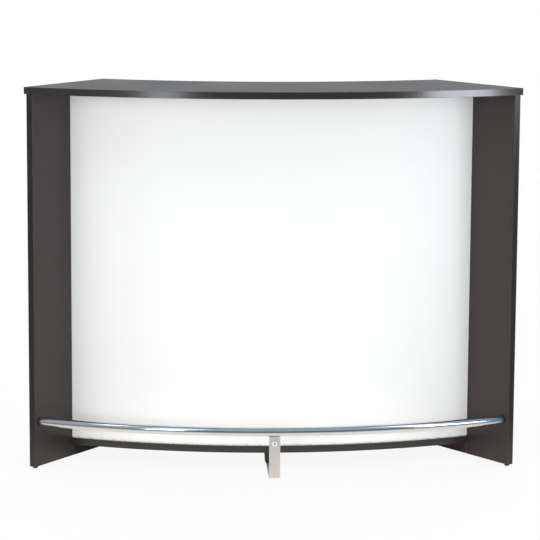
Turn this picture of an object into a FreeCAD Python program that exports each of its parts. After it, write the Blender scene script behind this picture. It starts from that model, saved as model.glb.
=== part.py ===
import FreeCAD, Part
import math
import os

# Bar cabinet: a curved counter of dark boards with a bowed white front panel and a chrome foot rail.
# Millimetres. Origin on the floor under the middle, front (guest side) towards -Y, +Z up.

# Plan of the worktop: four corners, a bowed front edge and a rear edge on the same centre
width = 1345.0
rear_width = 938.0
depth = 449.0
height = 1048.0
front_radius = 1540.0

# Boards and their glued edge bands
board = 19.0
band = 1.0
arris = 0.5
overhang = 3.0

# Heights above the floor
glide_height = 6.0
toe_height = 39.0
mid_shelf_height = 432.0
loose_shelf_height = 736.0

# Bowed front panel, its grooves and the stop pins at its foot
panel_thickness = 3.0
panel_setback = 171.0
panel_ledge = 5.0
panel_play = 0.4
groove_depth = 8.0
top_groove_depth = 5.0
stop_pin_diameter = 2.4
stop_pin_stand = 3.0
stop_pin_sink = 7.0
stop_pin_pitch = 34.3

# Shelves behind the panel
rear_inset = 8.0
panel_gap = 1.0
loose_play = 1.5

# Shelf supports and their rows of holes
support_stem_diameter = 5.0
support_stem_length = 9.0
support_tongue_width = 11.0
support_tongue_height = 4.0
support_tongue_reach = 10.0
support_inset = 34.0
hole_pitch = 32.0
holes_each_way = 2

# Knock-down fittings
fixing_play = 0.1
fixing_inset = 42.0
cam_diameter = 15.0
cam_depth = 12.5
cam_drop = 34.0
cam_front_inset = 118.0
cam_rear_inset = 48.0
cam_slot_length = 9.0
cam_slot_width = 1.6
cam_slot_depth = 1.5
cam_bolt_diameter = 6.0
cam_bolt_head_diameter = 7.0
cam_bolt_head_height = 3.0
cam_bolt_bite = 11.0
cam_bolt_hole_diameter = 8.0
dowel_diameter = 8.0
dowel_bite = 14.0
screw_diameter = 7.0
screw_length = 50.0
screw_head_diameter = 10.0
screw_head_height = 3.0
screw_socket_diameter = 4.0
screw_socket_depth = 3.0
cap_diameter = 13.0
cap_height = 1.5
cap_round = 1.2

# Glides under the side boards
glide_diameter = 14.0
glide_inset = 13.0
glide_round = 3.6
glide_nail_diameter = 2.5
glide_nail_length = 16.0

# Foot rail, its end plugs and the screws through the side boards
rail_diameter = 25.0
rail_wall = 1.5
rail_height = 129.0
rail_setback = 32.0
collar_diameter = 29.0
collar_thickness = 3.0
spigot_length = 22.0
spigot_play = 0.3
rail_screw_diameter = 6.0
rail_screw_bite = 15.0
rail_screw_head_diameter = 12.0
rail_screw_head_height = 3.5
rail_screw_round = 1.8

# Tab under the rail, the bent bracket that carries it and the screw that joins them
tab_width = 26.0
tab_thickness = 3.0
tab_drop = 44.0
strip_width = 30.0
strip_thickness = 3.0
strip_bend = 3.0
strip_corner = 4.0
strip_rail_gap = 1.0
tab_screw_drop = 33.0
tab_screw_diameter = 8.0
tab_screw_head_diameter = 14.0
tab_screw_head_height = 4.4
tab_screw_dome = 4.0
tab_screw_socket_width = 5.0
tab_screw_socket_depth = 2.6
tab_nut_width = 13.0
tab_nut_height = 6.5
tab_screw_spare = 2.0

# Middle foot under the bottom shelf
foot_top_diameter = 42.0
foot_base_diameter = 36.0
foot_setback = 46.0
foot_screw_diameter = 5.0
foot_screw_bite = 13.0
foot_screw_head_diameter = 9.5
floor_screw_gap = 9.0

# Worked-out places
UP = FreeCAD.Vector(0, 0, 1)
ACROSS = FreeCAD.Vector(1, 0, 0)
BACK = FreeCAD.Vector(0, 1, 0)
ORIGIN = FreeCAD.Vector(0, 0, 0)
front_y = -depth / 2
centre = FreeCAD.Vector(0, front_y + front_radius, 0)
corner_y = centre.y - math.sqrt(front_radius ** 2 - (width / 2) ** 2)
front_corner = FreeCAD.Vector(width / 2, corner_y, 0)
rear_corner = FreeCAD.Vector(rear_width / 2, depth / 2, 0)
rear_radius = (rear_corner - centre).Length
side_run = rear_corner - front_corner
side_length = side_run.Length
along = FreeCAD.Vector(side_run).normalize()
inward = FreeCAD.Vector(-along.y, along.x, 0)
outer = overhang
inner = overhang + board
underside = height - board
shelf_top = toe_height + board
panel_radius = front_radius - panel_setback
panel_back_radius = panel_radius - panel_thickness
bottom_front_radius = panel_radius + panel_ledge
shelf_front_radius = panel_back_radius - panel_gap
shelf_rear_radius = rear_radius + rear_inset
rail_radius = front_radius - rail_setback
rail_y = centre.y - rail_radius
foot_y = centre.y - bottom_front_radius + foot_setback
cam_level = underside - cam_drop
divider_front = centre.y - shelf_front_radius
divider_rear = centre.y - shelf_rear_radius
beyond = depth


def on_side(run, deep, level):
    """Point by the right side board: run along the worktop's side edge, deep in from that edge."""
    return front_corner + along * run + inward * deep + UP * level


def run_at(radius, deep):
    """Run at which the line that lies deep in from the side edge meets the circle of this radius."""
    start = front_corner + inward * deep - centre
    half = start.dot(along)
    return -half - math.sqrt(half ** 2 - start.dot(start) + radius ** 2)


side_start = run_at(front_radius - overhang, inner)
side_end = side_length - overhang
cam_runs = (side_start + cam_front_inset, side_end - cam_rear_inset)


def slab(points, low, high):
    """Upright prism on the plan given by points, from the level low to the level high."""
    flat = [FreeCAD.Vector(p.x, p.y, low) for p in points]
    return Part.Face(Part.makePolygon(flat + flat[:1])).extrude(UP * (high - low))


def between(deep, low, high):
    """Prism between the two lines that lie deep in from the worktop's side edges."""
    right = [on_side(-beyond, deep, 0), on_side(side_length + beyond, deep, 0)]
    left = [FreeCAD.Vector(-p.x, p.y, 0) for p in reversed(right)]
    return slab(right + left, low, high)


def ring(small, large, low, high):
    """Ring about the common centre of all the curved edges."""
    base = centre + UP * low
    return Part.makeCylinder(large, high - low, base).cut(Part.makeCylinder(small, high - low, base))


def bowed(small, large, deep, low, high):
    """Bowed board between two radii, with ends that lie deep in from the worktop's side edges."""
    return ring(small, large, low, high).common(between(deep, low, high))


def rod(diameter, start, way, length):
    """Round bar from start along way."""
    return Part.makeCylinder(diameter / 2, length, start, way)


def other_side(shape):
    """The same piece on the left."""
    return shape.mirror(ORIGIN, ACROSS)


def both(shapes):
    """Pieces of the right side together with their likes on the left."""
    return list(shapes) + [other_side(s) for s in shapes]


def drilled(shape, tools):
    """Shape with every tool cut out of it."""
    return shape.cut(Part.makeCompound(list(tools)))


def save(name, shapes):
    """Writes one node, made of one solid or a group of separate solids."""
    solids = [s for shape in shapes for s in shape.Solids]
    for solid in solids:
        if not solid.isValid() or solid.Volume <= 0:
            raise ValueError("bad solid in " + name)
    whole = solids[0] if len(solids) == 1 else Part.makeCompound(solids)
    whole.exportStep("parts/" + name + ".step")
    print(name, len(solids), round(sum(s.Volume for s in solids)))


# Shelf rows: where boards meet the side boards and the middle board

def shelf_runs(front, rear):
    """Runs of the two fixings of a shelf whose front and rear edges have these radii."""
    return (run_at(front, inner) + fixing_inset, run_at(rear, inner) - fixing_inset)


bottom_runs = shelf_runs(bottom_front_radius, shelf_rear_radius)
mid_runs = shelf_runs(shelf_front_radius, shelf_rear_radius)
support_runs = (run_at(shelf_front_radius, inner) + support_inset,
                run_at(shelf_rear_radius, inner) - support_inset)
divider_depths = (divider_front + fixing_inset, divider_rear - fixing_inset)
support_depths = (divider_front + support_inset, divider_rear - support_inset)
hole_steps = [hole_pitch * n for n in range(-holes_each_way, holes_each_way + 1)]
support_level = loose_shelf_height - support_tongue_height / 2


# Fittings: each has its solid, and the hole that takes it

def screw(head, way, play=0.0):
    """Countersunk joining screw from the face point head along way; play widens it into its hole."""
    wide, narrow = screw_head_diameter / 2 + play, screw_diameter / 2 + play
    cone = Part.makeCone(wide, narrow, screw_head_height, head, way)
    return cone.fuse(rod(2 * narrow, head, way, screw_length + play))


def screw_body(head, way):
    """Joining screw with its socket."""
    socket = rod(screw_socket_diameter, head, way, screw_socket_depth)
    return screw(head, way).cut(socket)


def cap(head, way):
    """Domed cap over a screw's head, on the board's outer face."""
    disc = rod(cap_diameter, head, way * -1, cap_height)
    rim = min(disc.Edges, key=lambda e: e.CenterOfMass.dot(way))
    dome = disc.makeFillet(cap_round, [rim])
    stub = rod(screw_socket_diameter - 2 * fixing_play, head, way, screw_socket_depth - fixing_play)
    return dome.fuse(stub)


def side_screw(run, level):
    """Outer face point and direction of a joining screw through the right side board."""
    return on_side(run, outer, level), inward


def cam_hole(face, way):
    """Blind hole of a cam lock, from the face point along way."""
    return rod(cam_diameter + 2 * fixing_play, face, way, cam_depth + fixing_play)


def cam_body(face, way, bolt):
    """Cam lock with a screwdriver slot and the slot that holds the bolt's head."""
    body = rod(cam_diameter, face, way, cam_depth)
    cross = way.cross(UP)
    slot = Part.makeBox(cam_slot_length, cam_slot_width, cam_slot_depth * 2)
    slot.translate(FreeCAD.Vector(-cam_slot_length / 2, -cam_slot_width / 2, -cam_slot_depth))
    turn = FreeCAD.Rotation(cross, UP, way)
    slot.Placement = FreeCAD.Placement(face, turn).multiply(slot.Placement)
    return body.cut(slot).cut(cam_bolt_hole(bolt))


def cam_bolt(foot):
    """Bolt that hangs from the worktop into the cam: head, neck and the thread in the worktop."""
    low = FreeCAD.Vector(foot.x, foot.y, cam_level - cam_bolt_head_height / 2)
    head = rod(cam_bolt_head_diameter, low, UP, cam_bolt_head_height)
    return head.fuse(rod(cam_bolt_diameter, low, UP, underside + cam_bolt_bite - low.z))


def cam_bolt_hole(foot):
    """Hole for the bolt down the board, from its top edge to below the bolt's head in the cam."""
    low = FreeCAD.Vector(foot.x, foot.y, cam_level - cam_bolt_head_height)
    return rod(cam_bolt_hole_diameter, low, UP, cam_drop + cam_bolt_head_height)


def top_hole(foot):
    """Blind hole for the bolt's thread in the worktop."""
    wide = cam_bolt_diameter + 2 * fixing_play
    return rod(wide, FreeCAD.Vector(foot.x, foot.y, underside), UP, cam_bolt_bite + fixing_play)


def dowel(middle, way, play=0.0, bite=dowel_bite):
    """Wooden dowel about its middle; play widens it into its hole."""
    half = bite + play
    return rod(dowel_diameter + 2 * play, middle - way * half, way, 2 * half)


def support(face, way):
    """Shelf support: a round stem in the board and a flat tongue under the shelf."""
    cross = UP.cross(way)
    stem = rod(support_stem_diameter, face + UP * support_level, way * -1, support_stem_length)
    half = cross * (support_tongue_width / 2)
    tip = face + way * support_tongue_reach
    plan = [face - half, tip - half, tip + half, face + half]
    return stem.fuse(slab(plan, loose_shelf_height - support_tongue_height, loose_shelf_height))


def support_holes(face, way):
    """Row of blind holes that the support can be moved to."""
    wide = support_stem_diameter + 2 * fixing_play
    deep = support_stem_length + fixing_play
    return [rod(wide, face + UP * (support_level + step), way * -1, deep) for step in hole_steps]


# Places of the fittings, right side and middle board

side_screws = [side_screw(run, toe_height + board / 2) for run in bottom_runs]
side_screws += [side_screw(run, mid_shelf_height + board / 2) for run in mid_runs]
floor_depths = (foot_y + foot_top_diameter / 2 + floor_screw_gap, divider_rear - fixing_inset)
floor_screws = [(FreeCAD.Vector(0, y, toe_height), UP) for y in floor_depths]
side_cams = [(on_side(run, inner, cam_level), inward * -1, on_side(run, outer + board / 2, 0))
             for run in cam_runs]
middle_cams = [(FreeCAD.Vector(board / 2, y, cam_level), ACROSS * -1, FreeCAD.Vector(0, y, 0))
               for y in divider_depths]
side_dowel = on_side(sum(cam_runs) / 2, outer + board / 2, underside)
middle_dowel = FreeCAD.Vector(0, sum(divider_depths) / 2, underside)
shelf_dowels = [FreeCAD.Vector(0, y, mid_shelf_height + board / 2) for y in divider_depths]
through_bite = board / 2 + dowel_bite
side_supports = [(on_side(run, inner, 0), inward) for run in support_runs]
middle_supports = [(FreeCAD.Vector(board / 2, y, 0), ACROSS) for y in support_depths]
rail_end_run = run_at(rail_radius, inner)
rail_screw_head = on_side(rail_end_run, outer, rail_height)
side_glides = [on_side(side_start + glide_inset, outer + board / 2, glide_height),
               on_side(side_end - glide_inset, outer + board / 2, glide_height)]


# Boards

def edge_band(outline, core):
    """Glued strip round a board, with its long outer edges broken by the arris."""
    strip = outline.cut(core)
    lowest, highest = strip.BoundBox.ZMin, strip.BoundBox.ZMax

    def outside(edge):
        box = edge.BoundBox
        level = box.ZMax - box.ZMin < arris and (box.ZMin - lowest < arris or highest - box.ZMax < arris)
        middle = edge.valueAt((edge.FirstParameter + edge.LastParameter) / 2)
        return level and not core.isInside(middle, band / 2, True)

    return strip.makeFillet(arris, [e for e in strip.Edges if outside(e)])


def panel_groove(low, high):
    """Space that the front panel's edges are let into, with play round the panel."""
    return bowed(panel_back_radius - panel_play, panel_radius + panel_play, inner - groove_depth, low, high)


def worktop():
    """Worktop core and the band round its four edges."""
    outline = bowed(rear_radius, front_radius, 0, underside, height)
    core = bowed(rear_radius + band, front_radius - band, band, underside, height)
    strip = edge_band(outline, core)
    groove = panel_groove(underside, underside + top_groove_depth)
    bolts = both([top_hole(foot) for _, _, foot in side_cams])
    bolts += [top_hole(foot) for _, _, foot in middle_cams]
    dowels = both([dowel(side_dowel, UP, fixing_play)]) + [dowel(middle_dowel, UP, fixing_play)]
    return drilled(core, [groove] + bolts + dowels), strip


def side_plan(start, end):
    """Plan of the right side board between two runs."""
    corners = ((start, outer), (end, outer), (end, inner), (start, inner))
    return [on_side(run, deep, 0) for run, deep in corners]


def side_board():
    """Right side board and its front and rear bands."""
    low, high = glide_height, underside
    outline = slab(side_plan(side_start, side_end), low, high)
    core = slab(side_plan(side_start + band, side_end - band), low, high)
    bands = outline.cut(core)

    def outside(edge):
        return edge.BoundBox.ZLength > board and not core.isInside(edge.CenterOfMass, band / 2, True)

    bands = bands.makeFillet(arris, [e for e in bands.Edges if outside(e)])
    groove = panel_groove(low, high)
    holes = [screw(head, way, fixing_play) for head, way in side_screws]
    holes += [cam_hole(face, way) for face, way, _ in side_cams]
    holes += [cam_bolt_hole(foot) for _, _, foot in side_cams]
    holes += [dowel(side_dowel, UP, fixing_play)]
    holes += [h for face, way in side_supports for h in support_holes(face, way)]
    holes += [rod(rail_screw_diameter + 2 * fixing_play, rail_screw_head, inward, board)]
    holes += [rod(glide_nail_diameter, foot, UP, glide_nail_length) for foot in side_glides]
    return drilled(core, [groove] + holes), bands


def bottom_shelf():
    """Bottom shelf and the bands on its bowed front and rear edges."""
    low, high = toe_height, shelf_top
    core = bowed(shelf_rear_radius + band, bottom_front_radius - band, inner, low, high)
    front = bowed(bottom_front_radius - band, bottom_front_radius, inner, low, high)
    rear = bowed(shelf_rear_radius, shelf_rear_radius + band, inner, low, high)
    holes = both([screw(head, way, fixing_play) for head, way in side_screws])
    holes += [screw(head, way, fixing_play) for head, way in floor_screws]
    holes += [stop_pin(p) for p in stop_pin_places()]
    holes += [rod(foot_screw_diameter, FreeCAD.Vector(0, foot_y, low), UP, foot_screw_bite)]
    return drilled(core, holes), [front, rear]


def right_bay(low, high, play):
    """Region of the right bay, clear of the side board and the middle board by play."""
    bay = between(inner + play, low, high)
    edge = board / 2 + play
    plan = [FreeCAD.Vector(edge, -beyond, 0), FreeCAD.Vector(width, -beyond, 0),
            FreeCAD.Vector(width, beyond, 0), FreeCAD.Vector(edge, beyond, 0)]
    return bay.common(slab(plan, low, high))


def bay_shelf(low, play):
    """Shelf of the right bay and the band on its rear edge, with play round it."""
    high = low + board
    bay = right_bay(low, high, play)
    core = ring(shelf_rear_radius + band, shelf_front_radius - play, low, high).common(bay)
    rear = ring(shelf_rear_radius, shelf_rear_radius + band, low, high).common(bay)
    return core, rear


def fixed_shelf():
    """Fixed shelf of the right bay, screwed to the side board and pegged to the middle board."""
    core, rear = bay_shelf(mid_shelf_height, 0)
    holes = [screw(head, way, fixing_play) for head, way in side_screws]
    holes += [dowel(p, ACROSS, fixing_play, through_bite) for p in shelf_dowels]
    return drilled(core, holes), rear


def middle_board():
    """Upright middle board between the bottom shelf and the worktop, and its rear band."""
    low, high = shelf_top, underside
    half = board / 2

    def upright(start, end):
        corners = ((-half, start), (half, start), (half, end), (-half, end))
        return slab([FreeCAD.Vector(x, y, 0) for x, y in corners], low, high)

    core = upright(divider_front, divider_rear - band)
    holes = [screw(head, way, fixing_play) for head, way in floor_screws]
    holes += [cam_hole(face, way) for face, way, _ in middle_cams]
    holes += [cam_bolt_hole(foot) for _, _, foot in middle_cams]
    holes += [dowel(middle_dowel, UP, fixing_play)]
    holes += [dowel(p, ACROSS, fixing_play, through_bite) for p in shelf_dowels]
    holes += both([h for face, way in middle_supports for h in support_holes(face, way)])
    return drilled(core, holes), upright(divider_rear - band, divider_rear)


# Front panel and the pins that stop its foot

def front_panel():
    """Thin bowed panel, held in the grooves of the side boards and of the worktop."""
    return bowed(panel_back_radius, panel_radius, inner - groove_depth + panel_play,
                 shelf_top, underside + top_groove_depth - panel_play)


def stop_pin_places():
    """Points on the bottom shelf, one pitch apart along the foot of the panel."""
    radius = panel_radius + panel_play + stop_pin_diameter / 2
    end = on_side(run_at(radius, inner), inner, 0)
    reach = math.asin(end.x / radius)
    step = stop_pin_pitch / radius
    count = math.floor((reach - stop_pin_diameter / radius) / step)
    spokes = [FreeCAD.Vector(math.sin(step * n), -math.cos(step * n), 0) for n in range(-count, count + 1)]
    return [centre + spoke * radius + UP * shelf_top for spoke in spokes]


def stop_pin(place):
    """Small brad driven into the shelf, close in front of the panel."""
    return rod(stop_pin_diameter, place - UP * stop_pin_sink, UP, stop_pin_sink + stop_pin_stand)


# Foot rail

def rail_frame():
    """Middle of the rail's right end on the side board, and the way the rail leaves the board."""
    end = on_side(rail_end_run, inner, rail_height)
    spoke = FreeCAD.Vector(end.x - centre.x, end.y - centre.y, 0)
    return end, FreeCAD.Vector(spoke.y, -spoke.x, 0).normalize()


def bent_bar(diameter):
    """Round bar bent to the rail's radius, cut off at the collars."""
    turn = Part.makeTorus(rail_radius, diameter / 2, centre + UP * rail_height, UP)
    clear = rail_diameter
    return turn.common(between(inner + collar_thickness, rail_height - clear, rail_height + clear))


def foot_rail():
    """Bent tube with the tab that is welded under its middle."""
    tube = bent_bar(rail_diameter).cut(bent_bar(rail_diameter - 2 * rail_wall))
    tab = Part.makeBox(tab_width, tab_thickness, tab_drop,
                       FreeCAD.Vector(-tab_width / 2, rail_y, rail_height - tab_drop))

    def lower_corner(edge):
        box = edge.BoundBox
        return box.YLength > tab_thickness / 2 and box.ZMax < rail_height - tab_drop / 2

    tab = tab.makeFillet(strip_corner, [e for e in tab.Edges if lower_corner(e)])
    wide = tab_screw_diameter + 2 * fixing_play
    hole = rod(wide, tab_screw_seat(), BACK, strip_thickness + tab_thickness)
    return tube.fuse(tab.cut(bent_bar(rail_diameter)).cut(hole)).removeSplitter()


def rail_end_plug():
    """Collar against the right side board with a spigot inside the tube."""
    end, way = rail_frame()
    collar = rod(collar_diameter, end, inward, collar_thickness)
    bore = rail_diameter - 2 * rail_wall
    spigot = rod(bore - 2 * spigot_play, end, way, spigot_length)
    behind = between(inner, rail_height - rail_diameter, rail_height + rail_diameter)
    hole = rod(rail_screw_diameter + 2 * fixing_play, end, inward, rail_screw_bite + fixing_play)
    return collar.fuse(spigot.common(behind)).cut(hole)


def rail_end_screw():
    """Pan-head screw through the right side board into the plug."""
    shank = rod(rail_screw_diameter, rail_screw_head, inward, board + rail_screw_bite)
    head = rod(rail_screw_head_diameter, rail_screw_head, inward * -1, rail_screw_head_height)
    rim = min(head.Edges, key=lambda e: e.CenterOfMass.dot(inward))
    return shank.fuse(head.makeFillet(rail_screw_round, [rim]))


# Bracket and middle foot

def tab_screw_seat():
    """Point on the bracket's front face where the screw's head sits."""
    return FreeCAD.Vector(0, rail_y - strip_thickness, rail_height - tab_screw_drop)


def rail_bracket():
    """Flat strip, bent once: up to the rail's tab, and back along the floor to under the middle foot."""
    front = rail_y - strip_thickness
    top = rail_height - rail_diameter / 2 - strip_rail_gap
    back = foot_y + foot_base_diameter / 2
    outside = strip_bend + strip_thickness
    elbow = FreeCAD.Vector(-strip_width / 2, front + outside, outside)
    left = -strip_width / 2

    def ell(start, radius):
        diagonal = radius * math.sqrt(0.5)
        corner = Part.Arc(FreeCAD.Vector(left, start, outside),
                          elbow + FreeCAD.Vector(0, -diagonal, -diagonal),
                          FreeCAD.Vector(left, front + outside, outside - radius))
        return corner.toShape()

    outer_arc = ell(front, outside)
    inner_arc = ell(rail_y, strip_bend)
    points = [FreeCAD.Vector(left, front, top), FreeCAD.Vector(left, rail_y, top),
              FreeCAD.Vector(left, back, 0), FreeCAD.Vector(left, back, strip_thickness)]
    edges = [Part.makeLine(points[0], FreeCAD.Vector(left, front, outside)), outer_arc,
             Part.makeLine(FreeCAD.Vector(left, front + outside, 0), points[2]),
             Part.makeLine(points[2], points[3]),
             Part.makeLine(points[3], FreeCAD.Vector(left, front + outside, strip_thickness)), inner_arc,
             Part.makeLine(FreeCAD.Vector(left, rail_y, outside), points[1]),
             Part.makeLine(points[1], points[0])]
    strip = Part.Face(Part.Wire(Part.__sortEdges__(edges))).extrude(ACROSS * strip_width)

    def end_corner(edge):
        box = edge.BoundBox
        thin = box.XLength < strip_thickness / 2
        upper = thin and box.ZMin > top - strip_thickness / 2 and box.YLength > strip_thickness / 2
        rear = thin and box.YMin > back - strip_thickness / 2 and box.ZLength > strip_thickness / 2
        return upper or rear

    strip = strip.makeFillet(strip_corner, [e for e in strip.Edges if end_corner(e)])
    hole = rod(tab_screw_diameter + 2 * fixing_play, tab_screw_seat(), BACK, strip_thickness)
    return drilled(strip, [hole, foot_screw(fixing_play)])


def foot_screw(play=0.0):
    """Countersunk screw from below, through the strip and the foot into the bottom shelf."""
    base = FreeCAD.Vector(0, foot_y, 0)
    wide, narrow = foot_screw_head_diameter / 2 + play, foot_screw_diameter / 2 + play
    cone = Part.makeCone(wide, narrow, strip_thickness, base, UP)
    return cone.fuse(rod(2 * narrow, base, UP, toe_height + foot_screw_bite))


def middle_foot():
    """Tapered foot between the bracket's strip and the bottom shelf."""
    base = FreeCAD.Vector(0, foot_y, strip_thickness)
    tall = toe_height - strip_thickness
    cone = Part.makeCone(foot_base_diameter / 2, foot_top_diameter / 2, tall, base, UP)
    return cone.cut(foot_screw(fixing_play))


def hexagon(start, flats, length):
    """Six-sided bar from start towards the rear, measured across its flats."""
    reach = flats / math.sqrt(3)
    turns = [math.radians(60 * n) for n in range(6)]
    corners = [start + FreeCAD.Vector(math.cos(t), 0, math.sin(t)) * reach for t in turns]
    return Part.Face(Part.makePolygon(corners + corners[:1])).extrude(BACK * length)


def tab_screw():
    """Button-head screw with a hexagon socket, through the bracket and the rail's tab."""
    seat = tab_screw_seat()
    grip = strip_thickness + tab_thickness + tab_nut_height + tab_screw_spare
    head = rod(tab_screw_head_diameter, seat, BACK * -1, tab_screw_head_height)
    rim = min(head.Edges, key=lambda e: e.CenterOfMass.y)
    whole = rod(tab_screw_diameter, seat, BACK, grip).fuse(head.makeFillet(tab_screw_dome, [rim]))
    face = seat - BACK * tab_screw_head_height
    return whole.cut(hexagon(face, tab_screw_socket_width, tab_screw_socket_depth))


def tab_nut():
    """Hexagon nut behind the rail's tab."""
    seat = tab_screw_seat() + BACK * (strip_thickness + tab_thickness)
    bore = rod(tab_screw_diameter + 2 * fixing_play, seat, BACK, tab_nut_height)
    return hexagon(seat, tab_nut_width, tab_nut_height).cut(bore)


# Glides

def glide(foot):
    """Domed plastic glide on a nail in the side board's lower edge."""
    pad = rod(glide_diameter, FreeCAD.Vector(foot.x, foot.y, 0), UP, glide_height)
    rim = min(pad.Edges, key=lambda e: e.CenterOfMass.z)
    return pad.makeFillet(glide_round, [rim])


def glide_nail(foot):
    """Nail moulded into a glide."""
    return rod(glide_nail_diameter, foot, UP, glide_nail_length)


def build():
    """Builds every piece and writes its node."""
    os.makedirs("parts", exist_ok=True)
    top, top_band = worktop()
    save("worktop", [top])
    save("worktop_edge_band", [top_band])
    side, side_bands = side_board()
    save("right_side_board", [side])
    save("right_side_edge_bands", [side_bands])
    save("left_side_board", [other_side(side)])
    save("left_side_edge_bands", [other_side(side_bands)])
    base, base_bands = bottom_shelf()
    save("bottom_shelf", [base])
    save("bottom_shelf_edge_bands", base_bands)
    save("front_panel", [front_panel()])
    save("panel_stop_pins", [stop_pin(p) for p in stop_pin_places()])
    middle, middle_band = middle_board()
    save("middle_board", [middle])
    save("middle_board_edge_band", [middle_band])
    fixed, fixed_band = fixed_shelf()
    loose, loose_band = bay_shelf(loose_shelf_height, loose_play)
    for hand, place in (("right", lambda s: s), ("left", other_side)):
        save(hand + "_fixed_shelf", [place(fixed)])
        save(hand + "_fixed_shelf_edge_band", [place(fixed_band)])
        save(hand + "_loose_shelf", [place(loose)])
        save(hand + "_loose_shelf_edge_band", [place(loose_band)])
        save(hand + "_rail_end_plug", [place(rail_end_plug())])
    save("shelf_supports", both([support(face, way) for face, way in side_supports + middle_supports]))
    cams = both([cam_body(*cam) for cam in side_cams]) + [cam_body(*cam) for cam in middle_cams]
    save("cam_locks", cams)
    bolts = both([cam_bolt(foot) for _, _, foot in side_cams])
    bolts += [cam_bolt(foot) for _, _, foot in middle_cams]
    save("cam_bolts", bolts)
    pegs = both([dowel(side_dowel, UP)]) + [dowel(middle_dowel, UP)]
    pegs += [dowel(p, ACROSS, 0.0, through_bite) for p in shelf_dowels]
    save("wooden_dowels", pegs)
    screws = both([screw_body(*s) for s in side_screws])
    screws += [screw_body(*s) for s in floor_screws]
    save("joining_screws", screws)
    save("screw_caps", both([cap(*s) for s in side_screws]))
    save("foot_rail", [foot_rail()])
    save("rail_end_screws", both([rail_end_screw()]))
    save("rail_bracket", [rail_bracket()])
    save("tab_screw", [tab_screw()])
    save("tab_nut", [tab_nut()])
    save("middle_foot", [middle_foot()])
    save("middle_foot_screw", [foot_screw()])
    save("glides", both([glide(foot) for foot in side_glides]))
    save("glide_nails", both([glide_nail(foot) for foot in side_glides]))


build()
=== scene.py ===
"""Looks of a curved bar cabinet: dark boards, a bowed white front panel and a chromed foot rail.

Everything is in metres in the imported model's own frame: X runs along the counter, guests stand on the -Y
side, and the floor is Z = 0. All bowed edges share one upright axis, ARC_Y behind the origin.
"""

from __future__ import annotations

import logging
import math
from collections.abc import Sequence
from dataclasses import dataclass
from enum import Enum

import bmesh
import bpy
import numpy as np
from bpy.types import Material, Node, NodeSocket, NodeTree, Object, World
from mathutils import Matrix, Vector


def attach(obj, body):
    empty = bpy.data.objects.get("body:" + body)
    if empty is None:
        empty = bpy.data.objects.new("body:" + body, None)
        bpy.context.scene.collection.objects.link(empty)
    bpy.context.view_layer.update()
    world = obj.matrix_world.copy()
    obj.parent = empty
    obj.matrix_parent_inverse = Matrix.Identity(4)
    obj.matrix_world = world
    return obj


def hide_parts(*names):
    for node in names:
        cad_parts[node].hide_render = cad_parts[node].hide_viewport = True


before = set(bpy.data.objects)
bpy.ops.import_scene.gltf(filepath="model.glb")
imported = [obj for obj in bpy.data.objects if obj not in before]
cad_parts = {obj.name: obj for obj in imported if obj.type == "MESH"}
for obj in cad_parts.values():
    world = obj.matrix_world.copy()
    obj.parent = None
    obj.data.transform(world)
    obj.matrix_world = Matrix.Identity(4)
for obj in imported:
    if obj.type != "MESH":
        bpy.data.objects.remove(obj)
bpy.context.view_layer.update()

LOG = logging.getLogger("bar_cabinet")
MM = 0.001
ARC_Y = 1.3155
BOARD = 0.019
OVERHANG = 0.003
INNER_FACE = OVERHANG + BOARD
CARCASS = "carcass"
WHITE = "FFFFFF"

# The worktop's right edge starts at SIDE_CORNER and runs back ALONG the side board. INWARD is square to it,
# and SIDE_EDGE is where the edge lies on INWARD.
SIDE_ANGLE = math.radians(34.653)
SIDE_CORNER = (0.6725, -0.06992)
INWARD = np.array([-math.cos(SIDE_ANGLE), -math.sin(SIDE_ANGLE), 0.0])
ALONG = np.array([-math.sin(SIDE_ANGLE), math.cos(SIDE_ANGLE), 0.0])
UP = np.array([0.0, 0.0, 1.0])
SIDE_EDGE = float(np.dot(INWARD[:2], SIDE_CORNER))

# Most of a noise pattern's values lie in this span.
NOISE_SPAN = (0.3, 0.7)

# A ramp is a span and the results at its start and end. Paint is a colour and two patterns.
Pair = tuple[float, float]
Point = tuple[float, float, float]
Ramp = tuple[float, float, float, float]
Colour = tuple[float, float, float, float]
Inputs = dict[str | int, object] | Sequence[object]
Paint = tuple[Node, Node, Node]


class Slot(Enum):
    """The record's material slots of the pieces that are built here."""

    CHROME = "chromed_steel"
    BLACK_PLASTIC = "black_plastic"
    ZINC = "zinc_steel"


class Ray(Enum):
    """Kinds of ray that the floor and the room tell apart."""

    CAMERA = "Is Camera Ray"
    DIFFUSE = "Is Diffuse Ray"
    GLOSSY = "Is Glossy Ray"
    TRANSMISSION = "Is Transmission Ray"


def linear(code: str, share: float = 1.0) -> Colour:
    """Turns an sRGB hex colour to linear light.

    Args:
        code: six hex digits, red first.
        share: how much of that light is kept, over 1 for a lighter shade.

    Returns:
        Red, green, blue and an alpha of 1.
    """
    parts = [int(code[i : i + 2], 16) / 255 for i in (0, 2, 4)]
    return (*(share * (c / 12.92 if c <= 0.04045 else ((c + 0.055) / 1.055) ** 2.4) for c in parts), 1.0)


def shades(code: str, shares: Pair) -> list[Colour]:
    """A colour at each of the shares of its light."""
    return [linear(code, share) for share in shares]


def per_mm(size: float) -> float:
    """Texture scale at which one cell of the pattern is size millimetres wide."""
    return 1.0 / (size * MM)


def bare_tree(owner: Material | World) -> NodeTree:
    """Turns on the nodes of a material or world and empties them.

    Args:
        owner: the material or world.

    Returns:
        Its empty node tree.
    """
    owner.use_nodes = True
    owner.node_tree.nodes.clear()
    return owner.node_tree


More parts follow.
